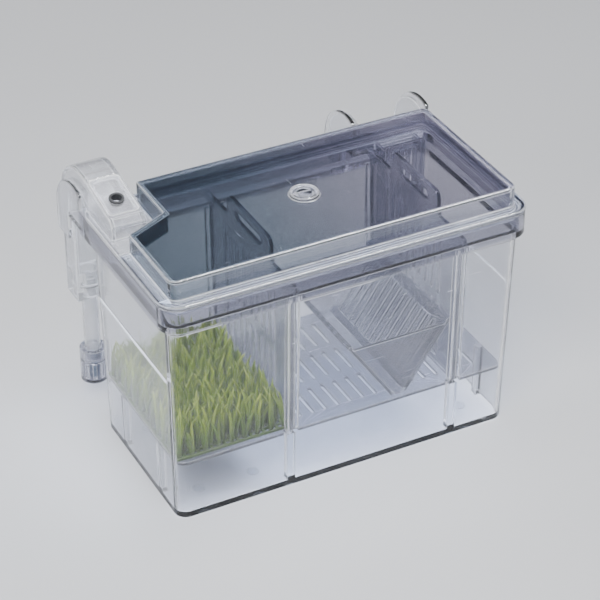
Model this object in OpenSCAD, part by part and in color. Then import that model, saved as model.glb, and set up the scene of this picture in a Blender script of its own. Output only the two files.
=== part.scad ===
// Hang-on fish breeding box in clear plastic, with its lid, water lift, chute and inner parts.
// Millimetres. +X runs along the box, +Y points to the aquarium and +Z is up.
// The origin is the centre of the flat base.

/* [Tank] */
// Outer length of the tank under its rim band
box_len = 177; // [165:1:220]
// Outer depth of the tank under its rim band
box_dep = 88; // [84:1:110]
// Height of the tank from its base to the top of its rim
box_h = 118; // [112:1:140]
// Thickness of the tank's walls
wall = 2.2; // [1.8:0.1:2.8]
// Thickness of the tank's floor
floor_t = 2.4; // [2:0.1:4]
// How far each side wall leans in between the rim band and the base
draft = 2; // [0.5:0.1:3]
// Radius of the tank's upright corners
corner_r = 6; // [4:0.5:8]
// Height of the fill line that is moulded round the tank
fill_z = 75; // [60:1:85]

/* [Rim band] */
// How far the rim band stands out from the tank's walls
rim_out = 3.5; // [3:0.1:5]
// Height of the rim band
rim_h = 12; // [10:0.5:14]
// Height of the slope under the rim band
cove_h = 3; // [2:0.5:5]

/* [Hooks] */
// Thickness of one hook rib
hook_t = 2.2; // [1.8:0.1:3]
// Space between the rim band and a hook's leg, for the aquarium's glass
hook_gap = 15; // [12:0.5:18]
// Depth of a hook's leg
hook_leg = 13.5; // [12:0.5:16]
// Radius of a hook's rounded back
hook_r = 20; // [16:0.5:22]
// Height of the hooks above the rim
hook_rise = 10; // [6:0.5:12]
// How far the seat on the glass lies under the rim
saddle_drop = 10; // [9.5:0.5:12]
// Thickness of the seat plate between two hooks
saddle_t = 2; // [1.5:0.1:3]
// How far the hooks' legs hang under the rim
hook_drop = 23; // [18:1:30]

/* [Lid] */
// Thickness of the lid's flange and walls
lid_t = 2; // [1.6:0.1:2.5]
// Distance from the flange's edge to the raised top
top_inset = 5.5; // [4.5:0.1:8]
// Height of the raised top above the flange
top_h = 9.7; // [8:0.1:14]
// Radius of the raised top's corners
top_r = 4; // [3:0.5:6]
// Distance from the lid's left end to the notch's right side
notch_w = 26.5; // [24:0.5:32]
// Distance from the lid's rear edge to the notch's front corner
notch_d = 35.5; // [34.5:0.5:40]
// Length of the notch's slanted side along the box
notch_run = 20; // [12:0.5:20]
// Depth of the notch's slanted side across the box
notch_rise = 9.6; // [4:0.2:12]
// Depth of the rib that keeps the lid in place
lid_rib_h = 3; // [2:0.5:4]

/* [Feeding port] */
// Place of the port along the box, from the middle
port_x = -2.5; // [-20:0.5:20]
// Place of the port across the box, from the middle
port_y = -3; // [-15:0.5:15]
// Radius of the port's bore
port_r = 5; // [4:0.1:6]
// Radius of the ring round the port
port_ring_r = 6.9; // [6.8:0.1:9]
// Height of the ring above the raised top
port_ring_h = 1.6; // [1.6:0.1:3]

/* [Intake] */
// Outer width of the duct
duct_w = 17; // [16:0.5:18]
// Wall of the duct and the chute
duct_wall = 1.8; // [1.4:0.1:2]
// Outer depth of the duct's leg in the aquarium
duct_d = 13; // [12.6:0.1:13.4]
// Inner radius of the duct's arch
arch_r = 10.2; // [9.6:0.1:10.4]
// Height of the arch above the rim
arch_rise = 18; // [17:0.5:22]
// How far the duct's leg hangs under the rim
leg_drop = 60; // [55:1:66]
// Distance from the front of the duct's outlet to the arch's inner side
outlet_d = 28; // [24:0.5:30]
// Outer radius of the riser tube
riser_r = 4; // [3.5:0.1:4.2]
// Bore radius of the riser tube
riser_bore_r = 3; // [2.4:0.1:3.1]
// How far the riser tube reaches out under the duct
riser_out = 37.8; // [30:0.1:40]
// How far the riser tube reaches into the duct
riser_in = 10.2; // [8:0.1:14]
// Bore radius of the grommet, for a 5 mm airline
airline_r = 2.4; // [2:0.1:2.6]

/* [Dividers and floor] */
// Distance between two guides for a divider
guide_pitch = 28.6; // [26:0.1:30]
// Thickness of a divider
divider_t = 2.2; // [1.8:0.1:2.6]
// Depth of a guide rib
guide_d = 2; // [1.5:0.1:2.5]
// Width of a guide rib
guide_w = 1.6; // [1.2:0.1:2]
// Height of the slotted floor's underside above the base
fry_z = 29.2; // [26:0.1:34]
// Thickness of the slotted floor
fry_t = 1.8; // [1.5:0.1:2.5]
// Width of the slots that fry swim through
slot_w = 2; // [1.4:0.1:2.4]
// Distance between two slots in the floor
floor_pitch = 6.6; // [5:0.1:9]

/* [Breeding trap] */
// Height of the trap
trap_h = 35; // [28:0.5:40]
// Gap at the bottom of the trap
trap_gap = 5; // [4:0.5:8]
// Thickness of the trap's plates
trap_t = 1.8; // [1.4:0.1:2.4]
// Distance between two slots in the trap
trap_pitch = 5; // [4:0.1:7]

/* [Spawning mat] */
// Thickness of the mat's base
mat_t = 1.4; // [1:0.1:2]
// Height of the tallest blades
blade_h = 23; // [14:0.5:23]
// Distance between two blades
blade_pitch = 6.4; // [5.6:0.1:9]

/* [Level feet] */
// Distance of a foot from the end of the box
foot_inset = 22.5; // [18:0.5:40]
// Height of a foot above the base
foot_z = 16; // [14:0.5:18]
// Radius of the screw
screw_r = 2.44; // [2.2:0.01:3]
// Radius of the knurled disc
disc_r = 8; // [7:0.5:9]
// Thickness of the knurled disc
disc_t = 3; // [2.6:0.1:3]
// Radius of the soft tip
pad_r = 6.5; // [5:0.5:7]
// How far the screw reaches into its boss
screw_len = 10; // [8:0.5:12]

/* [Clearances] */
// Running clearance round a shaft, on the radius
run_gap = 0.06; // [0.03:0.01:0.09]
// Clearance between parts that slide past each other
slide_gap = 0.5; // [0.35:0.05:0.7]
// Clearance under a part that rests on another
rest_gap = 0.1; // [0.05:0.01:0.2]

/* [Hidden] */

$fn = 48;
// Segments of the circles inside a hull
hull_fn = 32;
// Thickness of a slab at the end of a hull
skin = 0.1;
// Overlap that joins two solids, or runs a cut past a face
bite = 0.8;
// Larger than any part
far = 400;

// Tank
z_rim = box_h - rim_h;
z_ledge = z_rim + wall;
half_x = box_len / 2;
half_y = box_dep / 2;
rim_x = half_x + rim_out;
rim_y = half_y + rim_out;
rim_r = corner_r + rim_out;
z_fry = fry_z + fry_t;
clear_r = corner_r - wall;
mark_h = 1;
mark_t = 0.4;
post_w = 4;
post_d = 4;
post_y = 20;

// Half size of the tank's outside and inside at a height
function lean(z) = draft * (1 - z / z_rim);
function out_x(z) = half_x - lean(z);
function out_y(z) = half_y - lean(z);
function in_x(z) = out_x(z) - wall;
function in_y(z) = out_y(z) - wall;

// Guides
guides = [-1, 2];
guide_slot = divider_t + 2 * slide_gap;
guide_half = guide_slot / 2 + guide_w;

// Hooks
saddle_z = box_h - saddle_drop;
leg_y = rim_y + hook_gap;
back_y = leg_y + hook_leg;
hook_cz = box_h + hook_rise - hook_r;
hook_y0 = rim_y + slide_gap;

// Intake duct
top_z = box_h + lid_t + top_h;
duct_x = -rim_x + hook_t + slide_gap + duct_w / 2;
arch_y = back_y - duct_d - arch_r;
arch_out = arch_r + duct_d;
arch_z = box_h + arch_rise - arch_out;
outlet_y1 = arch_y - arch_r;
outlet_y0 = outlet_y1 - outlet_d;
duct_low = box_h - leg_drop;
riser_y = back_y - duct_d / 2;
riser_low = duct_low - riser_out;
riser_len = riser_out + riser_in;
collar_h = 14;
bore_r = riser_r + run_gap;
seal_r = 0.75;
seal_z = duct_low + 5;
groove_h = 2 * seal_r + 2 * rest_gap;
roof_y0 = outlet_y0 + 3;
roof_y1 = arch_y - 4;
roof_a = atan2(arch_z + arch_out - top_z, roof_y1 - roof_y0);
cover_t = 1;
cover_w = duct_w - 2 * duct_wall + 1.2;
cover_y0 = roof_y0 + 1.5;
cover_y1 = roof_y1 - 5;
cover_lip = 1.6;
grommet_y = (cover_y0 + cover_y1) / 2 - 3;
grommet_z = top_z + (grommet_y - roof_y0) * tan(roof_a);
grommet_r = 3.6;
grommet_neck = 2.9;

// Outflow chute
chute_x1 = rim_x - hook_t - slide_gap;
chute_w = 37.2;
chute_x0 = chute_x1 - chute_w;
chute_z = saddle_z + saddle_t + rest_gap;
chute_bend = 9;
mouth_x0 = 2 * guide_pitch + guide_half + slide_gap;
mouth_x1 = chute_x1 - 2;

// Hook ribs, one on each side of the duct and of the chute
hook_xs = [
  -rim_x,
  duct_x + duct_w / 2 + slide_gap,
  chute_x0 - slide_gap - hook_t,
  rim_x - hook_t];

// Notch in the lid
notch_x = -rim_x + notch_w;
notch_y = rim_y - notch_d;
notch_a = atan2(notch_rise, notch_run);
notch_kx = (1 - cos(notch_a)) / sin(notch_a);
notch_ky = (1 - sin(notch_a)) / cos(notch_a);

// Trap
trap_x = guide_pitch;
trap_half = guide_pitch - divider_t / 2 - slide_gap;
trap_y = in_y(z_fry) - guide_d - slide_gap;
trap_z = z_fry + rest_gap;
trap_rise = trap_h - trap_t;
trap_run = trap_half - trap_gap / 2 - trap_t;
trap_a = atan2(trap_rise, trap_run);
trap_len = sqrt(trap_rise * trap_rise + trap_run * trap_run);
web_end = 2;
trap_web_x = (trap_gap + trap_t * sin(trap_a)) / 2 + web_end * cos(trap_a);
trap_web_z = trap_t * (0.6 - cos(trap_a) / 2) + web_end * sin(trap_a);
web_run = trap_run - 2 * web_end * cos(trap_a);
web_rise = trap_rise - 2 * web_end * sin(trap_a);

// Outflow guard
guard_t = 1.6;
guard_pitch = 3.6;
guard_slot = 1.6;
guard_x0 = mouth_x0;
guard_x1 = in_x(z_rim) - draft - slide_gap - 1;
guard_h = 52;
guard_rib = 3;
guard_z1 = box_h - 2;
guard_z0 = guard_z1 - guard_h;
guard_ear_z = box_h - lid_rib_h - 1;
guard_slot_h = (guard_h - 3 * guard_rib) / 2;
guard_y1 = in_y(guard_z0) - slide_gap;
guard_y0 = guard_y1 - 6;

// Dividers
divider_top = box_h + 5;
handle_half = 22;
handle_r = 4;
ear_h = 4;
grip_h = 5;
divider_rib = 5;

// Mat
mat_x0 = -in_x(z_fry) + slide_gap;
mat_x1 = -guide_pitch - divider_t / 2 - slide_gap;
mat_y = in_y(z_fry) - guide_d - slide_gap;

// Strainer
strainer_h = 18;
sleeve_h = 6;
strainer_wall = 1.3;
strainer_z = riser_low - 0.2 - strainer_h + sleeve_h;
strainer_r = riser_r + run_gap + strainer_wall * 2;

// Level feet
foot_x = half_x - foot_inset;
boss_r = 4.6;
seat_r = 6;
seat_y = half_y - draft + 0.6;
disc_y = seat_y + 0.3;
pad_y = disc_y + disc_t + rest_gap;
pad_stem_r = 1.5;
pad_stem = 2.4;

// Flat rectangle with round corners, given by its half sizes
module round_rect(hx, hy, r) {
  square([2 * hx, 2 * (hy - r)], center = true);
  square([2 * (hx - r), 2 * hy], center = true);
  for (sx = [-1, 1], sy = [-1, 1]) {
    translate([sx * (hx - r), sy * (hy - r)]) circle(r);
  }
}

// Slab of that rectangle, for the ends of a hull
module slab(z, hx, hy, r) {
  translate([0, 0, z]) linear_extrude(skin) round_rect(hx, hy, r, $fn = hull_fn);
}

// Flat slot with round ends, standing upright
module slot(w, h) {
  square([w, h - w], center = true);
  for (s = [-1, 1]) translate([0, s * (h - w) / 2]) circle(w / 2, $fn = 24);
}

// Stands a flat (y, z) outline up and gives it a thickness along X
module along_x(x, t) {
  translate([x, 0, 0]) rotate([90, 0, 90]) linear_extrude(t) children();
}

// Turns a solid that points along Z so that it points along Y, from a given place
module along_y(x, y, z) {
  translate([x, y, z]) rotate([-90, 0, 0]) children();
}

// Outside of the tank: leaning walls, slope and rim band
module tank_outside() {
  hull() {
    slab(0, out_x(0), out_y(0), corner_r);
    slab(z_rim - skin, half_x, half_y, corner_r);
  }
  hull() {
    slab(z_rim - cove_h, out_x(z_rim - cove_h), out_y(z_rim - cove_h), corner_r);
    slab(z_rim, rim_x, rim_y, rim_r);
  }
  translate([0, 0, z_rim]) linear_extrude(rim_h) round_rect(rim_x, rim_y, rim_r);
  translate([0, 0, fill_z]) linear_extrude(mark_h) square([2 * (out_x(fill_z) + mark_t), 2 * (out_y(fill_z) - corner_r)], center = true);
}

// Inside of the tank: the leaning well and the wider space in the rim band
module tank_inside() {
  hull() {
    slab(floor_t, in_x(floor_t), in_y(floor_t), clear_r);
    slab(z_rim + wall, half_x - wall, half_y - wall, clear_r);
  }
  translate([0, 0, z_ledge]) linear_extrude(rim_h) round_rect(rim_x - wall, rim_y - wall, rim_r - wall);
}

// Outline of one hook rib in the (y, z) plane
module hook_outline() {
  difference() {
    union() {
      intersection() {
        translate([back_y - hook_r, hook_cz]) circle(hook_r, $fn = 96);
        translate([hook_y0, hook_cz]) square([far, far]);
      }
      translate([leg_y, box_h - hook_drop]) square([hook_leg, hook_cz - box_h + hook_drop]);
      translate([rim_y - rim_r, z_rim]) square([rim_r + slide_gap + bite, rim_h]);
      translate([rim_y, saddle_z]) square([hook_gap, rim_h - 2]);
    }
    translate([rim_y, 0]) square([hook_gap, saddle_z]);
    translate([rim_y - far, box_h]) square([far + slide_gap, far]);
  }
}

// Upright rib on the inside of the front wall, between two heights
module wall_rib(x, w, d, z0, z1) {
  for (side = [0, 1]) {
    mirror([0, side, 0]) along_x(x - w / 2, w) {
      polygon([
        [-in_y(z0) - bite, z0], [-in_y(z0) + d, z0],
        [-in_y(z1) + d, z1], [-in_y(z1) - bite, z1]]);
    }
  }
}

module box_body() {
  color("lightcyan", 0.45) difference() {
    union() {
      difference() {
        union() {
          tank_outside();
          for (x = hook_xs) along_x(x, hook_t) hook_outline();
          for (x = [-rim_x, chute_x0 - slide_gap - hook_t]) {
            w = (x < 0 ? duct_w : chute_w) + 2 * slide_gap + 2 * hook_t;
            translate([x, rim_y - wall, saddle_z]) cube([w, hook_gap + wall, saddle_t]);
          }
          for (s = [-1, 1]) along_y(s * foot_x, seat_y - 3, foot_z) cylinder(r = seat_r, h = 3);
        }
        tank_inside();
        translate([mouth_x0 - slide_gap, rim_y - rim_out - wall, saddle_z + saddle_t])
          cube([mouth_x1 - mouth_x0 + 2 * slide_gap, 2 * rim_out + wall, rim_h]);
      }
      for (i = guides) {
        for (s = [-1, 1]) {
          wall_rib(i * guide_pitch + s * (guide_slot + guide_w) / 2, guide_w, guide_d, z_fry + 1, z_rim);
        }
        wall_rib(i * guide_pitch, post_w, post_d, floor_t - bite, fry_z);
      }
      for (sx = [-1, 1], sy = [-1, 1]) {
        translate([sx * (in_x(fry_z) + bite) - (sx > 0 ? post_d : 0), sy * post_y - post_w / 2, floor_t - bite])
          cube([post_d, post_w, fry_z - floor_t + bite]);
      }
      for (s = [-1, 1]) {
        along_y(s * foot_x, seat_y - screw_len - 2, foot_z) cylinder(r = boss_r, h = screw_len);
      }
    }
    for (s = [-1, 1]) {
      along_y(s * foot_x, seat_y - screw_len - 0.6, foot_z) cylinder(r = screw_r + run_gap, h = far);
    }
  }
}

// Outline of the lid's notch, grown by g
module notch(g) {
  polygon([
    [-far, far], [notch_x + g, far],
    [notch_x + g, notch_y - g * notch_ky],
    [notch_x - notch_run + g * notch_kx, notch_y - notch_rise - g],
    [-far, notch_y - notch_rise - g]]);
}

module lid() {
  color("lightsteelblue", 0.5) difference() {
    union() {
      translate([0, 0, box_h]) linear_extrude(lid_t) difference() {
        round_rect(rim_x, rim_y, rim_r);
        notch(0);
      }
      translate([0, 0, box_h]) linear_extrude(lid_t + top_h) difference() {
        round_rect(rim_x - top_inset, rim_y - top_inset, top_r);
        notch(0);
      }
      translate([0, 0, box_h - lid_rib_h]) linear_extrude(lid_rib_h) difference() {
        round_rect(rim_x - wall - slide_gap, rim_y - wall - slide_gap, rim_r - wall);
        round_rect(rim_x - wall - slide_gap - lid_t, rim_y - wall - slide_gap - lid_t, rim_r - wall - lid_t);
        notch(lid_t);
      }
      translate([port_x, port_y, top_z - bite]) cylinder(r = port_ring_r, h = port_ring_h + bite);
    }
    translate([0, 0, box_h - bite]) linear_extrude(bite + top_h) difference() {
      round_rect(rim_x - top_inset - lid_t, rim_y - top_inset - lid_t, top_r - lid_t);
      notch(lid_t);
    }
    translate([port_x, port_y, box_h]) cylinder(r = port_r, h = far);
    translate([port_x, port_y, top_z + port_ring_h - 1]) cylinder(r = port_r + 1, h = far);
  }
}

module feed_plug() {
  top = top_z + port_ring_h;
  color("whitesmoke", 0.8) translate([port_x, port_y, 0]) {
    difference() {
      union() {
        translate([0, 0, top_z - lid_t - 1]) cylinder(r = port_r - run_gap, h = top - top_z + lid_t + 0.5);
        translate([0, 0, top - 1 + rest_gap]) cylinder(r = port_r + 1 - slide_gap / 2, h = 1 - rest_gap);
      }
      translate([0, 0, top - 3]) cylinder(r = port_r - 1.4, h = far);
    }
    translate([-port_r + 1, -0.7, top - 3 - bite]) cube([2 * port_r - 2, 1.4, 3 + bite]);
  }
}

// Outline of the duct in the (y, z) plane, made thinner by w
module duct_outline(w) {
  difference() {
    union() {
      intersection() {
        translate([arch_y, arch_z]) circle(arch_out - w, $fn = 96);
        translate([arch_y - far / 2, arch_z]) square([far, far]);
      }
      translate([back_y - duct_d + w, duct_low - (w > 0 ? 1 : 0)])
        square([duct_d - 2 * w, arch_z - duct_low + 1 + bite]);
      polygon([
        [outlet_y0 + w, z_ledge - (w > 0 ? 1 : 0)], [outlet_y1 - w, z_ledge - (w > 0 ? 1 : 0)],
        [outlet_y1 - w, arch_z + bite], [arch_y, arch_z + arch_out - w],
        [roof_y1, arch_z + arch_out - w],
        [roof_y0 + w / 2, top_z - w], [outlet_y0 + w, top_z - 3 - w / 2]]);
    }
    translate([arch_y, arch_z]) circle(arch_r + w, $fn = 96);
    translate([arch_y - arch_r - w, 0]) square([2 * (arch_r + w), arch_z]);
  }
}

module intake_duct() {
  color("azure", 0.6) difference() {
    union() {
      difference() {
        along_x(duct_x - duct_w / 2, duct_w) duct_outline(0);
        along_x(duct_x - duct_w / 2 + duct_wall, duct_w - 2 * duct_wall) duct_outline(duct_wall);
      }
      translate([0, 0, box_h]) linear_extrude(lid_t) difference() {
        intersection() {
          round_rect(rim_x, rim_y, rim_r);
          notch(-slide_gap - 0.1);
        }
        translate([duct_x - duct_w / 2 + duct_wall, outlet_y0 + duct_wall])
          square([duct_w - 2 * duct_wall, far]);
      }
      translate([duct_x - duct_w / 2 + duct_wall / 2, back_y - duct_d + duct_wall / 2, duct_low])
        cube([duct_w - duct_wall, duct_d - duct_wall, collar_h]);
    }
    translate([duct_x, riser_y, duct_low - 1]) cylinder(r = bore_r, h = collar_h + 2);
    translate([duct_x, riser_y, seal_z]) cylinder(r = riser_r + run_gap / 2 + 2 * seal_r, h = groove_h);
    on_roof() {
      translate([0, 0, -cover_t]) linear_extrude(far) cover_outline(rest_gap);
      translate([0, 0, -2 * duct_wall]) linear_extrude(far) cover_outline(-cover_lip);
    }
    translate([0, 0, z_ledge - 1]) linear_extrude(box_h - z_ledge + 1) difference() {
      translate([-far, -far]) square([far, far + rim_y]);
      round_rect(rim_x - wall - slide_gap / 2, rim_y - wall - slide_gap / 2, rim_r - wall);
    }
  }
}

// Places a solid on the duct's slanted roof, around the grommet's middle
module on_roof() {
  translate([duct_x, grommet_y, grommet_z]) rotate([roof_a, 0, 0]) children();
}

// Outline of the duct's cover, grown by g
module cover_outline(g) {
  y0 = (cover_y0 - grommet_y) / cos(roof_a) - g;
  y1 = (cover_y1 - grommet_y) / cos(roof_a) + g;
  translate([0, (y0 + y1) / 2]) round_rect(cover_w / 2 + g, (y1 - y0) / 2, 2);
}

module duct_cover() {
  color("azure", 0.6) on_roof() translate([0, 0, -cover_t]) linear_extrude(cover_t) difference() {
    cover_outline(0);
    circle(grommet_neck);
  }
}

module airline_grommet() {
  color("gray") on_roof() difference() {
    union() {
      cylinder(r = grommet_r, h = 1);
      translate([0, 0, -cover_t - 1.8]) cylinder(r = grommet_neck, h = cover_t + 2.8);
    }
    translate([0, 0, -far / 2]) cylinder(r = airline_r, h = far);
  }
}

module riser_seal() {
  color("dimgray") translate([duct_x, riser_y, seal_z + groove_h / 2])
    rotate_extrude() translate([riser_r + run_gap / 2 + seal_r, 0]) circle(seal_r, $fn = 24);
}

module riser_tube() {
  color("azure", 0.6) translate([duct_x, riser_y, riser_low]) difference() {
    cylinder(r = riser_r, h = riser_len);
    translate([0, 0, -1]) cylinder(r = riser_bore_r, h = riser_len + 2);
  }
}

module inlet_strainer() {
  color("lightsteelblue", 0.8) translate([duct_x, riser_y, strainer_z]) difference() {
    cylinder(r = strainer_r, h = strainer_h);
    translate([0, 0, strainer_h - sleeve_h]) cylinder(r = riser_r + run_gap, h = sleeve_h + 2);
    translate([0, 0, strainer_wall]) cylinder(r = strainer_r - strainer_wall, h = strainer_h - sleeve_h - strainer_wall - 1);
    translate([0, 0, strainer_wall]) cylinder(r = riser_bore_r, h = strainer_h);
    for (a = [0:36:324]) rotate([0, 0, a]) translate([2, -0.8, 2.6]) cube([strainer_r, 1.6, strainer_h - sleeve_h - 4]);
  }
}

module air_diffuser() {
  stone_h = 8;
  color("lightslategray") translate([duct_x, riser_y, strainer_z + strainer_wall]) {
    cylinder(r = 2.5, h = stone_h);
    translate([0, 0, stone_h - bite]) cylinder(r = 1.3, h = 6 + bite);
    for (k = [0, 1]) translate([0, 0, stone_h + 2.5 + 1.7 * k]) cylinder(r1 = 1.8, r2 = 1.3, h = 1.4);
  }
}

// Outline of the chute's floor in the (y, z) plane: flat over the glass, then round and down
module chute_floor_outline() {
  bend_y = back_y - duct_wall - chute_bend;
  translate([rim_y - wall, chute_z]) square([bend_y - rim_y + wall, duct_wall]);
  intersection() {
    translate([bend_y, chute_z + duct_wall - chute_bend]) difference() {
      circle(chute_bend);
      circle(chute_bend - duct_wall);
    }
    translate([bend_y, chute_z + duct_wall - chute_bend]) square(far);
  }
  translate([bend_y + chute_bend - duct_wall, box_h - hook_drop])
    square([duct_wall, chute_z + duct_wall - chute_bend - box_h + hook_drop]);
}

module chute_side_outline() {
  intersection() {
    translate([back_y - hook_r, hook_cz]) circle(hook_r - 1.8, $fn = 96);
    translate([hook_y0, chute_z]) square(far);
  }
  translate([leg_y + slide_gap, box_h - hook_drop])
    square([hook_leg - slide_gap - 1.8, chute_z - box_h + hook_drop + bite]);
}

module outflow_chute() {
  color("azure", 0.6) {
    difference() {
      along_x(chute_x0, chute_w) chute_floor_outline();
      translate([mouth_x0 - far, hook_y0 - far, 0]) cube([far, far, far]);
      translate([mouth_x1, hook_y0 - far, 0]) cube([far, far, far]);
    }
    for (x = [chute_x0, chute_x1 - duct_wall]) along_x(x, duct_wall) chute_side_outline();
  }
}

module outflow_guard() {
  w = guard_x1 - guard_x0;
  slots = floor((w - 6) / guard_pitch);
  color("lightsteelblue", 0.7) {
    translate([guard_x0, guard_y0 + guard_t, guard_z0]) rotate([90, 0, 0]) linear_extrude(guard_t) difference() {
      square([w, guard_z1 - guard_z0]);
      for (i = [0:slots], row = [0, 1]) {
        translate([w / 2 + (i - slots / 2) * guard_pitch, guard_rib + guard_slot_h / 2 + row * (guard_slot_h + guard_rib)])
          slot(guard_slot, guard_slot_h);
      }
    }
    for (x = [guard_x0, guard_x1 - guard_t]) {
      along_x(x, guard_t) {
        translate([guard_y0, guard_z0]) square([guard_y1 - guard_y0, z_rim - guard_z0]);
        translate([guard_y0, z_rim - bite]) square([in_y(z_rim) - slide_gap - guard_y0, guard_ear_z - z_rim]);
        translate([guard_y0, z_ledge + rest_gap])
          square([rim_y - wall - slide_gap - guard_y0, guard_ear_z - z_ledge - rest_gap]);
      }
    }
  }
}

// Outline of a divider in the (y, z) plane
module divider_outline() {
  z0 = z_fry + rest_gap;
  z1 = z_ledge + rest_gap;
  y0 = in_y(z0) - slide_gap;
  y1 = in_y(z_rim) - slide_gap;
  ear = rim_y - wall - slide_gap;
  divider_slot = (z_rim - z0 - 3 * divider_rib) / 2;
  difference() {
    union() {
      polygon([
        [-y0, z0], [y0, z0], [y1, z_rim], [y1, z1], [ear, z1], [ear, z1 + ear_h],
        [-ear, z1 + ear_h], [-ear, z1], [-y1, z1], [-y1, z_rim]]);
      translate([-handle_half, z1]) square([2 * handle_half, divider_top - z1 - handle_r]);
      translate([-handle_half + handle_r, z1]) square([2 * (handle_half - handle_r), divider_top - z1]);
      for (s = [-1, 1]) translate([s * (handle_half - handle_r), divider_top - handle_r]) circle(handle_r);
    }
    translate([0, (z1 + ear_h + divider_top) / 2 - 1]) rotate(90) slot(grip_h, 1.2 * handle_half);
    for (i = [-4:4], row = [0, 1]) {
      translate([i * 3 * slot_w, z0 + divider_rib + divider_slot / 2 + row * (divider_slot + divider_rib)])
        slot(slot_w, divider_slot);
    }
  }
}

module divider(i) {
  color("aliceblue", 0.6) along_x(i * guide_pitch - divider_t / 2, divider_t) divider_outline();
}

module divider_left() {
  divider(-1);
}

module divider_right() {
  divider(2);
}

module fry_floor() {
  hx = in_x(fry_z) - slide_gap;
  hy = in_y(fry_z) - slide_gap;
  columns = floor((hx - 8) / floor_pitch);
  row_y = 2 * (hy - 5) / 3;
  color("aliceblue", 0.7) translate([0, 0, fry_z]) linear_extrude(fry_t) difference() {
    round_rect(hx, hy, clear_r);
    for (i = guides, s = [-1, 1]) {
      translate([i * guide_pitch, s * (hy + 5 - guide_d)]) square([2 * (guide_half + slide_gap), 10], center = true);
    }
    for (i = [-columns:columns], r = [-1, 0, 1]) {
      translate([i * floor_pitch, r * row_y]) slot(slot_w, row_y - 5);
    }
  }
}

// One sloping plate of the trap, from the bottom gap up to the left
module trap_plate() {
  count = floor((trap_y - 5) / trap_pitch);
  translate([-trap_gap / 2, 0, 0]) rotate([0, trap_a - 180, 0]) translate([0, -trap_y, 0]) {
    linear_extrude(trap_t) difference() {
      square([trap_len, 2 * trap_y]);
      for (i = [-count:count]) {
        translate([trap_len / 2, trap_y + i * trap_pitch]) rotate(90) slot(slot_w, trap_len - 9);
      }
    }
  }
}

module breeding_trap() {
  color("aliceblue", 0.7) translate([trap_x, 0, trap_z]) {
    for (m = [0, 1]) mirror([m, 0, 0]) {
      translate([0, 0, trap_t * 0.6]) trap_plate();
      translate([-trap_half + 1.2, 0, trap_h - 1.2]) rotate([90, 0, 0])
        cylinder(r = 1.2, h = 2 * trap_y, center = true);
    }
    for (y = [-trap_y, trap_y - trap_t]) {
      translate([0, y + trap_t, 0]) rotate([90, 0, 0]) linear_extrude(trap_t) polygon([
        [-trap_web_x, trap_web_z], [trap_web_x, trap_web_z],
        [trap_web_x + web_run, trap_web_z + web_rise], [-trap_web_x - web_run, trap_web_z + web_rise]]);
      translate([-trap_gap / 2 + 0.3, y, 0]) cube([trap_gap - 0.6, trap_t, 4]);
    }
  }
}

// One blade of the mat: a thin tapered leaf that leans over
module blade(h, tilt) {
  translate([0, 0.5, 0]) rotate([90, 0, 0]) linear_extrude(1)
    polygon([[-1.7, 0], [1.7, 0], [0.4 - tilt, h], [-0.4 - tilt, h]]);
}

module spawning_mat() {
  nx = floor((mat_x1 - mat_x0 - 9) / blade_pitch);
  ny = floor(mat_y / blade_pitch - 0.5);
  color("olivedrab") translate([0, 0, z_fry + rest_gap]) {
    translate([mat_x0, -mat_y, 0]) cube([mat_x1 - mat_x0, 2 * mat_y, mat_t]);
    for (i = [0:nx], j = [-ny:ny]) {
      translate([mat_x0 + 6 + i * blade_pitch, j * blade_pitch, mat_t - 0.2])
        blade(blade_h * (0.8 + 0.2 * cos(97 * i + 61 * j)), 3 * sin(53 * i + 131 * j));
    }
  }
}

module level_screw(x) {
  knurls = 20;
  color("lightgray") difference() {
    union() {
      along_y(x, seat_y - screw_len, foot_z) cylinder(r = screw_r, h = screw_len + 1);
      along_y(x, disc_y, foot_z) cylinder(r = disc_r, h = disc_t);
    }
    for (a = [0:360 / knurls:359]) {
      along_y(x + disc_r * cos(a), disc_y - 1, foot_z + disc_r * sin(a)) cylinder(r = 0.8, h = disc_t + 2, $fn = 16);
    }
    along_y(x, disc_y + disc_t - pad_stem - 0.2, foot_z) cylinder(r = pad_stem_r + run_gap, h = far);
  }
}

module foot_pad(x) {
  color("dimgray") {
    along_y(x, pad_y, foot_z) cylinder(r = pad_r, h = rim_y - pad_y);
    along_y(x, disc_y + disc_t - pad_stem, foot_z) cylinder(r = pad_stem_r, h = pad_stem + 1);
  }
}

module level_screw_left() {
  level_screw(-foot_x);
}

module level_screw_right() {
  level_screw(foot_x);
}

module foot_pad_left() {
  foot_pad(-foot_x);
}

module foot_pad_right() {
  foot_pad(foot_x);
}

box_body();
lid();
feed_plug();
intake_duct();
duct_cover();
airline_grommet();
riser_seal();
riser_tube();
inlet_strainer();
air_diffuser();
outflow_chute();
outflow_guard();
divider_left();
divider_right();
fry_floor();
breeding_trap();
spawning_mat();
level_screw_left();
level_screw_right();
foot_pad_left();
foot_pad_right();
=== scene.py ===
import math
import random

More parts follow.
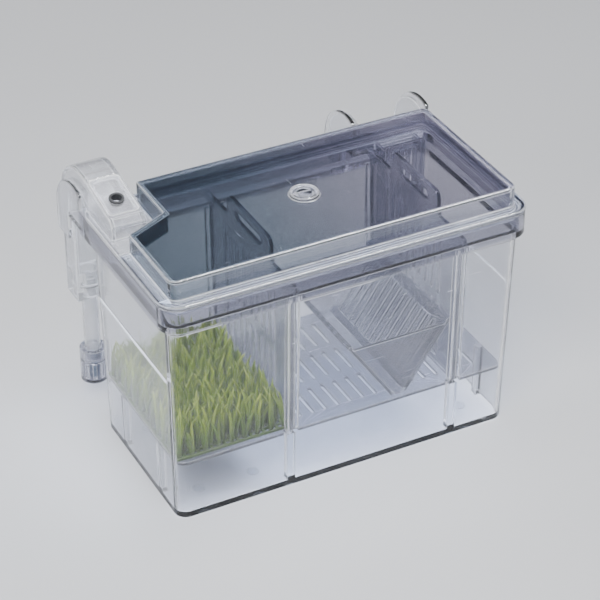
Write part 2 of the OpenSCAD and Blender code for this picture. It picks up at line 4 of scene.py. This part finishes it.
import bmesh
import bpy
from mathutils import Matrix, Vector


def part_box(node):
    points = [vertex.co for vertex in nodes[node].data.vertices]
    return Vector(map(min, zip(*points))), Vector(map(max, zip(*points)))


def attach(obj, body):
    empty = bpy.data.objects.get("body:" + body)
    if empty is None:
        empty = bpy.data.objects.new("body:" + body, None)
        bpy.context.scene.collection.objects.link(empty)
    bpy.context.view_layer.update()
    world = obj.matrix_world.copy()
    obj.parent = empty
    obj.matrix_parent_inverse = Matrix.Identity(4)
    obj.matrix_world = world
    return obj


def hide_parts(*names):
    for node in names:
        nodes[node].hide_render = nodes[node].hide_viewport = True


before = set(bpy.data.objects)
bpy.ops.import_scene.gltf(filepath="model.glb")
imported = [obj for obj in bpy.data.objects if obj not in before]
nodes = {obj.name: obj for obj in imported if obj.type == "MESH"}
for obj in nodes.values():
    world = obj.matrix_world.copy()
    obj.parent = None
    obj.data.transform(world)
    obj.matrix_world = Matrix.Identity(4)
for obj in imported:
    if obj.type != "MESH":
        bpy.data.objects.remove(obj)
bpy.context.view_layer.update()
MM = 0.001


def aim(o, way):
    """Turns a camera or a light to look along a direction."""
    o.rotation_mode = "QUATERNION"
    o.rotation_quaternion = way.to_track_quat("-Z", "Y")


# Camera: the viewing angle of the photograph, aimed so that the whole object shows
AZIMUTH = math.radians(27.3)
ELEVATION = math.radians(34.0)
DISTANCE = 1.05
AIM = Vector((0.0, 0.006, 0.066))
LENS = 134
NEAR = 0.05
FAR = 20

cam_data = bpy.data.cameras.new("camera")
cam = bpy.data.objects.new("camera", cam_data)
bpy.context.collection.objects.link(cam)
look = Vector((math.sin(AZIMUTH) * math.cos(ELEVATION), math.cos(AZIMUTH) * math.cos(ELEVATION),
               -math.sin(ELEVATION)))
cam.location = AIM - look * DISTANCE
aim(cam, look)
cam_data.lens = LENS
cam_data.clip_start = NEAR
cam_data.clip_end = FAR
bpy.context.scene.camera = cam


# Parts of materials

def new_mat(name):
    m = bpy.data.materials.new(name)
    m.use_nodes = True
    nt = m.node_tree
    return m, nt, nt.nodes["Principled BSDF"]


def noise(nt, scale, detail=3.0, rough=0.5, stretch=None):
    tc = nt.nodes.new("ShaderNodeTexCoord")
    n = nt.nodes.new("ShaderNodeTexNoise")
    n.inputs["Scale"].default_value = scale
    n.inputs["Detail"].default_value = detail
    n.inputs["Roughness"].default_value = rough
    where = tc.outputs["Object"]
    if stretch:
        mp = nt.nodes.new("ShaderNodeMapping")
        mp.inputs["Scale"].default_value = stretch
        nt.links.new(where, mp.inputs["Vector"])
        where = mp.outputs["Vector"]
    nt.links.new(where, n.inputs["Vector"])
    return n.outputs["Fac"]


def ramp(nt, src, stops):
    r = nt.nodes.new("ShaderNodeValToRGB")
    while len(r.color_ramp.elements) < len(stops):
        r.color_ramp.elements.new(0.5)
    for e, (pos, col) in zip(r.color_ramp.elements, stops):
        e.position = pos
        e.color = (*col, 1)
    nt.links.new(src, r.inputs["Fac"])
    return r.outputs["Color"]


def spread(nt, src, from_lo, from_hi, to_lo=0.0, to_hi=1.0):
    """Maps one range of values to another and stays inside it."""
    r = nt.nodes.new("ShaderNodeMapRange")
    for name, v in (("From Min", from_lo), ("From Max", from_hi), ("To Min", to_lo), ("To Max", to_hi)):
        r.inputs[name].default_value = v
    nt.links.new(src, r.inputs["Value"])
    return r.outputs["Result"]


def calc(nt, op, a, b=None):
    n = nt.nodes.new("ShaderNodeMath")
    n.operation = op
    for i, v in enumerate((a, b)):
        if v is None:
            continue
        if isinstance(v, (int, float)):
            n.inputs[i].default_value = v
        else:
            nt.links.new(v, n.inputs[i])
    return n.outputs["Value"]


def place(nt, axis):
    """How far a point lies along one axis of the object, in metres."""
    tc = nt.nodes.new("ShaderNodeTexCoord")
    s = nt.nodes.new("ShaderNodeSeparateXYZ")
    nt.links.new(tc.outputs["Object"], s.inputs["Vector"])
    return s.outputs[axis]


def blend(nt, fac, a, b):
    """Mixes two colours, each a socket or a tuple."""
    n = nt.nodes.new("ShaderNodeMix")
    n.data_type = "RGBA"
    nt.links.new(fac, n.inputs[0])
    for s, v in zip([s for s in n.inputs if s.type == "RGBA"][-2:], (a, b)):
        if isinstance(v, tuple):
            s.default_value = (*v, 1)
        else:
            nt.links.new(v, s)
    return [o for o in n.outputs if o.type == "RGBA"][-1]


def bump(nt, bsdf, src, strength, dist):
    b = nt.nodes.new("ShaderNodeBump")
    b.inputs["Strength"].default_value = strength
    b.inputs["Distance"].default_value = dist
    nt.links.new(src, b.inputs["Height"])
    nt.links.new(b.outputs["Normal"], bsdf.inputs["Normal"])


# Clear plastic

PLASTIC_IOR = 1.49
# Painted highlight: the white that the moulded edges are painted, standing in for light the edges catch and
# carry
EDGE_HIGHLIGHT_WHITE = (0.97, 0.975, 0.99)
FLAT_DOT = 0.996
EDGE_DOT = 0.88
SCRATCH_ROUGHNESS = 0.22
WAVE_SCALE = 26.0
WAVE_DEPTH = 2 * MM


def painted_edge_highlight(nt, radius):
    """How much a point lies on a moulded edge, where the clear materials paint a white highlight: there the
    rounded normal turns away from the true one.
    FLAT_DOT and EDGE_DOT are the products of the two normals where the edge begins and where it is full."""
    bev = nt.nodes.new("ShaderNodeBevel")
    bev.samples = 6
    bev.inputs["Radius"].default_value = radius
    geo = nt.nodes.new("ShaderNodeNewGeometry")
    dot = nt.nodes.new("ShaderNodeVectorMath")
    dot.operation = "DOT_PRODUCT"
    nt.links.new(bev.outputs["Normal"], dot.inputs[0])
    nt.links.new(geo.outputs["Normal"], dot.inputs[1])
    return spread(nt, dot.outputs["Value"], FLAT_DOT, EDGE_DOT)


def scratches(nt, stretch, scale):
    """Thin streaks along one axis, as wiping leaves them on clear plastic."""
    return spread(nt, noise(nt, scale, 4.0, 0.65, stretch=stretch), 0.66, 0.72)


def clear(name, tint, edge, edge_width=0.8 * MM, rough=(0.02, 0.09), wave=0.12, trans=1.0,
          passes=(0.80, 0.82, 0.86), part=None):
    """Clear moulded plastic: slight waves, faint haze that varies, and light that goes through.
    edge is how strongly the moulded edges are painted white and made less clear, a painted highlight over
    about edge_width.
    rough is the haze from least to most, and trans is how much of the light goes through.
    passes is the tint of the light that goes on to what lies in the plastic's shadow.
    part(nt) may give a mask and a second tint for one region of the part, such as the rim band or the painted
    shade on the lid's top."""
    m, nt, p = new_mat(name)
    cloud = noise(nt, 90.0, 4.0, 0.6)
    col = ramp(nt, cloud, [(0.35, tuple(c * 0.97 for c in tint)), (0.7, tint)])
    if part:
        mask, other = part(nt)
        col = blend(nt, mask, col, other)
    # Painted highlight: the moulded edges turn white and less clear, standing in for light caught along them
    edge_highlight = calc(nt, "MULTIPLY", painted_edge_highlight(nt, edge_width), edge)
    nt.links.new(blend(nt, edge_highlight, col, EDGE_HIGHLIGHT_WHITE), p.inputs["Base Color"])
    nt.links.new(spread(nt, edge_highlight, 0.0, 1.0, trans, 0.0), p.inputs["Transmission Weight"])
    haze = spread(nt, cloud, 0.35, 0.75, *rough)
    marks = calc(nt, "ADD", scratches(nt, (1.0, 30.0, 30.0), 40.0), scratches(nt, (26.0, 1.3, 26.0), 46.0))
    dull = calc(nt, "ADD", haze, calc(nt, "MULTIPLY", marks, SCRATCH_ROUGHNESS))
    nt.links.new(dull, p.inputs["Roughness"])
    p.inputs["IOR"].default_value = PLASTIC_IOR
    bump(nt, p, noise(nt, WAVE_SCALE, 2.0, 0.45), wave, WAVE_DEPTH)
    path = nt.nodes.new("ShaderNodeLightPath")
    shadow = nt.nodes.new("ShaderNodeBsdfTransparent")
    shadow.inputs["Color"].default_value = (*passes, 1)
    mix = nt.nodes.new("ShaderNodeMixShader")
    nt.links.new(path.outputs["Is Shadow Ray"], mix.inputs[0])
    nt.links.new(p.outputs["BSDF"], mix.inputs[1])
    nt.links.new(shadow.outputs["BSDF"], mix.inputs[2])
    nt.links.new(mix.outputs["Shader"], nt.nodes["Material Output"].inputs["Surface"])
    return m


RIM_TINT = (0.40, 0.40, 0.48)
RIM_FROM_Z = 104.5 * MM
RIM_FULL_Z = 107.5 * MM
HOOKS_FROM_Y = 48.5 * MM
RIM_TO_Y = 47.5 * MM


def rim_part(nt):
    """The thick rim band of the tank, which shows violet grey. The hooks behind it stay clear."""
    high = spread(nt, place(nt, "Z"), RIM_FROM_Z, RIM_FULL_Z)
    before_hooks = spread(nt, place(nt, "Y"), HOOKS_FROM_Y, RIM_TO_Y)
    return calc(nt, "MULTIPLY", high, before_hooks), RIM_TINT


TOP_INSET = 6.5 * MM
TOP_FADE = 1 * MM
TOP_LEFT_X = -60 * MM
TOP_RIGHT_X = 100 * MM
# Painted shade on the lid's top, from dark slate at the left to violet grey at the right
TOP_SHADE_TINTS = [(0.0, (0.135, 0.175, 0.215)), (0.4, (0.19, 0.225, 0.275)),
             (0.7, (0.34, 0.335, 0.41)), (1.0, (0.50, 0.475, 0.56))]


def lid_top_painted_shade(nt):
    """The raised top of the lid, with painted shade: slate on the left and violet grey on the right, standing
    in for the dark seen through the clear lid.
    """
    lo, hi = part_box("lid")
    inside = []
    for axis, reach in (("X", hi.x), ("Y", hi.y)):
        edge = reach - TOP_INSET
        inside.append(spread(nt, calc(nt, "ABSOLUTE", place(nt, axis)), edge + TOP_FADE, edge))
    cloud = calc(nt, "MULTIPLY", noise(nt, 14.0, 3.0, 0.6), 0.06)
    along = calc(nt, "ADD", place(nt, "X"), cloud)
    tint = ramp(nt, spread(nt, along, TOP_LEFT_X, TOP_RIGHT_X), TOP_SHADE_TINTS)
    return calc(nt, "MULTIPLY", *inside), tint


m_tank = clear("clear_tank", (0.93, 0.935, 0.96), edge=0.6, part=rim_part)
m_lid = clear("clear_lid", (0.64, 0.665, 0.73), edge=1.0, edge_width=1.2 * MM, wave=0.13,
              passes=(0.70, 0.74, 0.80), part=lid_top_painted_shade)
m_duct = clear("clear_duct", (0.80, 0.805, 0.825), edge=1.0, rough=(0.06, 0.18), trans=0.86)
m_insert = clear("clear_insert", (0.52, 0.525, 0.585), edge=0.75, edge_width=0.5 * MM,
                 rough=(0.05, 0.16), trans=0.96)
m_plug = clear("clear_plug", (0.80, 0.81, 0.86), edge=0.35, edge_width=0.3 * MM)


# Solid materials

def grained(name, grain, stops, roughness, strength=0.0, depth=0.0):
    """A solid material whose colour varies with a grain, which may also raise its surface."""
    m, nt, p = new_mat(name)
    fac = noise(nt, *grain)
    nt.links.new(ramp(nt, fac, stops), p.inputs["Base Color"])
    p.inputs["Roughness"].default_value = roughness
    if strength:
        bump(nt, p, fac, strength, depth)
    return m


m_rub = grained("rubber", (900.0,), [(0.3, (0.028, 0.03, 0.034)), (0.7, (0.045, 0.047, 0.052))],
                0.62, 0.2, 0.4 * MM)
m_stone = grained("air_stone", (1600.0, 5.0, 0.7), [(0.3, (0.10, 0.13, 0.18)), (0.7, (0.26, 0.31, 0.38))],
                  0.85, 0.7, 0.6 * MM)

# The mat: darker green at the roots and light yellow green at the tips, each blade a little different
ROOTS_Z = 31 * MM
TIPS_Z = 55 * MM

m_mat, nt, p = new_mat("green_mat")
streak = noise(nt, 420.0, 3.0, 0.6, stretch=(1.0, 1.0, 0.12))
geo = nt.nodes.new("ShaderNodeNewGeometry")
height = spread(nt, place(nt, "Z"), ROOTS_Z, TIPS_Z)
fac = calc(nt, "ADD", calc(nt, "MULTIPLY", height, 0.62), calc(nt, "MULTIPLY", streak, 0.3))
fac = calc(nt, "ADD", fac, calc(nt, "MULTIPLY", geo.outputs["Random Per Island"], 0.22))
green = ramp(nt, fac, [(0.12, (0.016, 0.038, 0.002)), (0.45, (0.075, 0.14, 0.006)),
                       (0.75, (0.20, 0.27, 0.014)), (1.0, (0.46, 0.51, 0.09))])
nt.links.new(green, p.inputs["Base Color"])
p.inputs["Roughness"].default_value = 0.38
p.inputs["Subsurface Weight"].default_value = 0.25
p.inputs["Subsurface Radius"].default_value = (0.6, 1.0, 0.2)
p.inputs["Subsurface Scale"].default_value = 1 * MM
bump(nt, p, streak, 0.35, 0.5 * MM)


# The CAD nodes: their materials and their rounded edges

def paint(m, names):
    for name in names:
        o = nodes[name]
        if not o.material_slots:
            o.data.materials.append(m)
        for s in o.material_slots:
            s.link = "OBJECT"
            s.material = m


paint(m_tank, ["box_body"])
paint(m_lid, ["lid"])
paint(m_duct, ["intake_duct", "duct_cover", "riser_tube", "outflow_chute"])
paint(m_plug, ["feed_plug"])
paint(m_insert, ["inlet_strainer", "outflow_guard", "divider_left", "divider_right",
                 "fry_floor", "breeding_trap", "level_screw_left", "level_screw_right"])
paint(m_rub, ["airline_grommet", "riser_seal", "foot_pad_left", "foot_pad_right"])
paint(m_stone, ["air_diffuser"])

EDGE_ANGLE = math.radians(42)
FINE_WELD = 0.002 * MM
WIDE_WELD = 0.1 * MM

# The width of each node's rounding, in millimetres, and the nodes whose meshes have slivers
ROUNDING = {"box_body": 0.5, "lid": 0.42, "outflow_chute": 0.25, "divider_left": 0.3, "divider_right": 0.3,
            "outflow_guard": 0.2, "fry_floor": 0.25, "riser_tube": 0.2, "inlet_strainer": 0.15,
            "level_screw_left": 0.15, "level_screw_right": 0.15, "feed_plug": 0.15, "airline_grommet": 0.2,
            "foot_pad_left": 0.3, "foot_pad_right": 0.3, "intake_duct": 0.4, "breeding_trap": 0.15}
SLIVERS = ("intake_duct", "breeding_trap")


def round_edges(o, width):
    b = o.modifiers.new("edges", "BEVEL")
    b.width = width
    b.segments = 2
    b.limit_method = "ANGLE"
    return b


def soften(name, width, weld):
    """Rounds the moulded edges of a CAD node, so that they catch the light. The wide weld takes out
    slivers, which the rounding would pull out into spikes. No Decimate goes here, because it turns the
    flat clear walls dark."""
    o = nodes[name]
    o.modifiers.new("weld", "WELD").merge_threshold = weld
    b = round_edges(o, width)
    b.angle_limit = EDGE_ANGLE
    b.use_clamp_overlap = False
    b.miter_outer = "MITER_ARC"
    n = o.modifiers.new("normals", "WEIGHTED_NORMAL")
    n.mode = "FACE_AREA"
    n.weight = 100
    n.keep_sharp = True


for name, width in ROUNDING.items():
    soften(name, width * MM, WIDE_WELD if name in SLIVERS else FINE_WELD)


# Pieces made here

def piece(name, bm, material, body, smooth=True):
    me = bpy.data.meshes.new(name)
    bmesh.ops.recalc_face_normals(bm, faces=bm.faces)
    bm.to_mesh(me)
    bm.free()
    for f in me.polygons:
        f.use_smooth = smooth
    me.materials.append(material)
    o = bpy.data.objects.new(name, me)
    bpy.context.collection.objects.link(o)
    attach(o, body)
    return o


def skin(bm, rows):
    """Faces between neighbouring rings of points."""
    for a, b in zip(rows, rows[1:]):
        for i in range(len(a)):
            j = (i + 1) % len(a)
            bm.faces.new([a[i], a[j], b[j], b[i]])


def skin_and_caps(bm, rows):
    skin(bm, rows)
    bm.faces.new(rows[0])
    bm.faces.new(list(reversed(rows[-1])))


def lattice(bm, lo, hi, z0, z1, bar, pitch):
    """An open grid of bars between two corners, as one closed mesh.
    Gives back where the bars' sides lie along X and Y."""
    lines = []
    for a in range(2):
        length = hi[a] - lo[a] - bar
        count = round(length / pitch)
        step = length / count
        lines.append([lo[a] + i * step + s for i in range(count + 1) for s in (0, bar)])
    xs, ys = lines
    made = {}

    def vert(i, j, top):
        if (i, j, top) not in made:
            made[i, j, top] = bm.verts.new((xs[i], ys[j], z1 if top else z0))
        return made[i, j, top]

    def solid(i, j):
        inside = 0 <= i < len(xs) - 1 and 0 <= j < len(ys) - 1
        return inside and (i % 2 == 0 or j % 2 == 0)

    for i in range(len(xs) - 1):
        for j in range(len(ys) - 1):
            if not solid(i, j):
                continue
            ring = [(i, j), (i + 1, j), (i + 1, j + 1), (i, j + 1)]
            bm.faces.new([vert(*c, True) for c in ring])
            bm.faces.new([vert(*c, False) for c in reversed(ring)])
            for k, (di, dj) in enumerate(((0, -1), (1, 0), (0, 1), (-1, 0))):
                if not solid(i + di, j + dj):
                    a, b = ring[k], ring[(k + 1) % 4]
                    bm.faces.new([vert(*a, False), vert(*b, False), vert(*b, True), vert(*a, True)])
    return xs, ys


BLADE_STEPS = 8
BLADE_THICK = 0.28 * MM
BLADE_DROOP = 0.12
BLADE_SECTION = ((-1, 0.25), (-0.45, -0.25), (0, 0.0), (0.45, -0.25), (1, 0.25), (0.45, 0.45), (0, 1.0),
                 (-0.45, 0.45))


def blade(bm, root, height, width, yaw, lean, twist):
    """A thin leaf with a raised midrib that tapers to a tip and bends over as it rises."""
    rows = []
    side = Vector((math.cos(yaw), math.sin(yaw), 0))
    out = Vector((-math.sin(yaw), math.cos(yaw), 0))
    for k in range(BLADE_STEPS):
        t = k / BLADE_STEPS
        turn = twist * t
        across = side * math.cos(turn) + out * math.sin(turn)
        face = out * math.cos(turn) - side * math.sin(turn)
        rise = height * (t - BLADE_DROOP * t ** 3)
        middle = root + Vector((lean[0], lean[1], 0)) * t ** 1.9 + Vector((0, 0, rise))
        half = width / 2 * (0.7 + 0.9 * t - 1.55 * t ** 2.2)
        deep = BLADE_THICK * (1.15 - 0.6 * t)
        rows.append([bm.verts.new(middle + across * u * half + face * v * deep) for u, v in BLADE_SECTION])
    tip = bm.verts.new(root + Vector((lean[0], lean[1], height * (1 - BLADE_DROOP))))
    skin(bm, rows)
    last = rows[-1]
    for i in range(len(last)):
        bm.faces.new([last[i], last[(i + 1) % len(last)], tip])
    bm.faces.new(list(reversed(rows[0])))


# Spawning mat: tufts of blades on an open grid. The ranges and ROOT_SCATTER are in millimetres.
GRID_HEIGHT = 1.4 * MM
GRID_BAR = 1.2 * MM
GRID_PITCH = 3.3 * MM
BLADES_A_TUFT = 5
BLADE_HEIGHT = (13.5, 25.5)
BLADE_WIDTH = (1.9, 2.9)
BLADE_REACH = (0.5, 6.5)
TALLER_FIRST = 1.04
ROOT_SCATTER = 0.7
ROOT_DEPTH = 0.5 * MM
MAT_MARGIN = 1.0 * MM

rng = random.Random(11)
lo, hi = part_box("spawning_mat")
base_top = lo.z + GRID_HEIGHT
bm = bmesh.new()
xs, ys = lattice(bm, lo, hi, lo.z, base_top, GRID_BAR, GRID_PITCH)
mat_base = piece("mat_grid", bm, m_mat, "mat", smooth=False)
round_edges(mat_base, 0.2 * MM)

bm = bmesh.new()
for i in range(0, len(xs), 2):
    for j in range((i // 2) % 2 * 2, len(ys), 4):
        px, py = xs[i] + GRID_BAR / 2, ys[j] + GRID_BAR / 2
        for k in range(BLADES_A_TUFT):
            yaw = rng.uniform(0, math.tau)
            height = rng.uniform(*BLADE_HEIGHT) * MM * (1.0 if k else TALLER_FIRST)
            width = rng.uniform(*BLADE_WIDTH) * MM
            reach = rng.uniform(*BLADE_REACH) * MM
            way = rng.uniform(0, math.tau)
            lean = [reach * math.cos(way), reach * math.sin(way)]
            root = [px + rng.uniform(-ROOT_SCATTER, ROOT_SCATTER) * MM,
                    py + rng.uniform(-ROOT_SCATTER, ROOT_SCATTER) * MM]
            for a in range(2):
                low, high = lo[a] + MAT_MARGIN, hi[a] - MAT_MARGIN
                root[a] = min(max(root[a], low), high)
                if not low <= root[a] + lean[a] <= high:
                    lean[a] = -lean[a]
            top = min(height, (hi.z - base_top) / (1 - BLADE_DROOP))
            foot = Vector((root[0], root[1], base_top - ROOT_DEPTH))
            blade(bm, foot, top, width, yaw, lean, rng.uniform(-1.1, 1.1))
blades = piece("mat_blades", bm, m_mat, "mat")
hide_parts("spawning_mat")
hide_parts("spawning_mat")

# The level screws' threads
THREAD_PITCH = 1.5 * MM
THREAD_RADIUS = 2.27 * MM
THREAD_TUBE = 0.19 * MM
THREAD_START = 0.5 * MM
THREAD_END = 9.6 * MM
THREAD_FADE = 10


def helix(bm, x, y0, y1, z, radius, tube, pitch):
    """The thread of a level screw, which turns a right-handed way along Y and fades out at both ends."""
    per_turn, sides = 28, 8
    count = int((y1 - y0) / pitch * per_turn)
    rows = []
    for k in range(count + 1):
        a = math.tau * k / per_turn
        out = Vector((math.sin(a), 0, math.cos(a)))
        run = Vector((math.cos(a) * radius, pitch / math.tau, -math.sin(a) * radius)).normalized()
        up = run.cross(out)
        fade = min(1.0, (k + 1) / THREAD_FADE, (count + 1 - k) / THREAD_FADE)
        middle = Vector((x, y0 + pitch * k / per_turn, z)) + out * (radius - tube * (1 - fade))
        rows.append([bm.verts.new(middle + (out * math.cos(b) + up * math.sin(b)) * tube * max(fade, 0.15))
                     for b in (math.tau * i / sides for i in range(sides))])
    skin_and_caps(bm, rows)


for side in ("left", "right"):
    lo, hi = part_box("level_screw_" + side)
    bm = bmesh.new()
    helix(bm, (lo.x + hi.x) / 2, lo.y + THREAD_START, lo.y + THREAD_END, (lo.z + hi.z) / 2,
          THREAD_RADIUS, THREAD_TUBE, THREAD_PITCH)
    piece("screw_thread_" + side, bm, m_insert, "screw_" + side)

# The marks that ejector pins leave on the tank's floor
PIN_PLACES = ((-70, -26), (70, -26), (-70, 26), (70, 26), (-42, -26), (-42, 26))
TANK_FLOOR_Z = 2.4 * MM
PIN_RADIUS = 3.0 * MM
PIN_RISE = 0.22 * MM
PIN_SUNK = 0.3 * MM


def low_disc(bm, centre, radius, rise, sunk):
    """A low round mark with a soft edge, hollow in the middle, whose foot is sunk into the floor."""
    count = 40
    rows = []
    for r, z in ((radius, -sunk), (radius, rise * 0.5), (radius - 0.12 * MM, rise), (radius - 0.9 * MM, rise),
                 (radius - 1.05 * MM, rise * 0.45)):
        rows.append([bm.verts.new((centre[0] + r * math.cos(a), centre[1] + r * math.sin(a), centre[2] + z))
                     for a in (math.tau * i / count for i in range(count))])
    skin_and_caps(bm, rows)


bm = bmesh.new()
for x, y in PIN_PLACES:
    low_disc(bm, (x * MM, y * MM, TANK_FLOOR_Z), PIN_RADIUS, PIN_RISE, PIN_SUNK)
piece("tank_pin_marks", bm, m_tank, "box", smooth=False)

# Floor
FLOOR_SIZE = 40
FLOOR_Z = -0.2 * MM

m_floor = grained("floor", (3.0,), [(0.3, (0.64, 0.65, 0.67)), (0.7, (0.67, 0.68, 0.70))], 0.6)
bpy.ops.mesh.primitive_plane_add(size=FLOOR_SIZE, location=(0, 0, FLOOR_Z))
floor = bpy.context.object
floor.name = "floor"
floor.data.materials.append(m_floor)

# Light: a soft sky that is darker near the horizon, and four softboxes. The first lights no diffuse surface
# and draws the moulded edges in reflections. The next two don't show in reflections.
SKY = [(0.42, (0.05, 0.055, 0.07)), (0.95, (0.95, 0.96, 1.0))]
SKY_STRENGTH = 0.9

world = bpy.data.worlds.new("world")
bpy.context.scene.world = world
world.use_nodes = True
wt = world.node_tree
tc = wt.nodes.new("ShaderNodeTexCoord")
sep = wt.nodes.new("ShaderNodeSeparateXYZ")
wt.links.new(tc.outputs["Generated"], sep.inputs["Vector"])
wt.links.new(ramp(wt, sep.outputs["Z"], SKY), wt.nodes["Background"].inputs["Color"])
wt.nodes["Background"].inputs["Strength"].default_value = SKY_STRENGTH


def area(name, loc, target, size, energy, diffuse=True, glossy=True):
    d = bpy.data.lights.new(name, "AREA")
    d.shape = "RECTANGLE"
    d.size, d.size_y = size
    d.energy = energy
    o = bpy.data.objects.new(name, d)
    bpy.context.collection.objects.link(o)
    o.location = loc
    aim(o, Vector(target) - Vector(loc))
    o.visible_diffuse = diffuse
    o.visible_glossy = glossy


area("front_edges", (0.44, -0.13, 1.15), (0, 0, 0.1), (0.6, 0.45), 36, diffuse=False)
area("key", (-0.55, -0.55, 1.1), (0, 0, 0.05), (0.5, 0.4), 13, glossy=False)
area("top", (-0.1, 0.0, 1.3), (0, 0, 0.0), (0.7, 0.5), 9, glossy=False)
area("left", (-1.0, -0.45, 0.45), (0, 0, 0.06), (0.3, 0.5), 5)
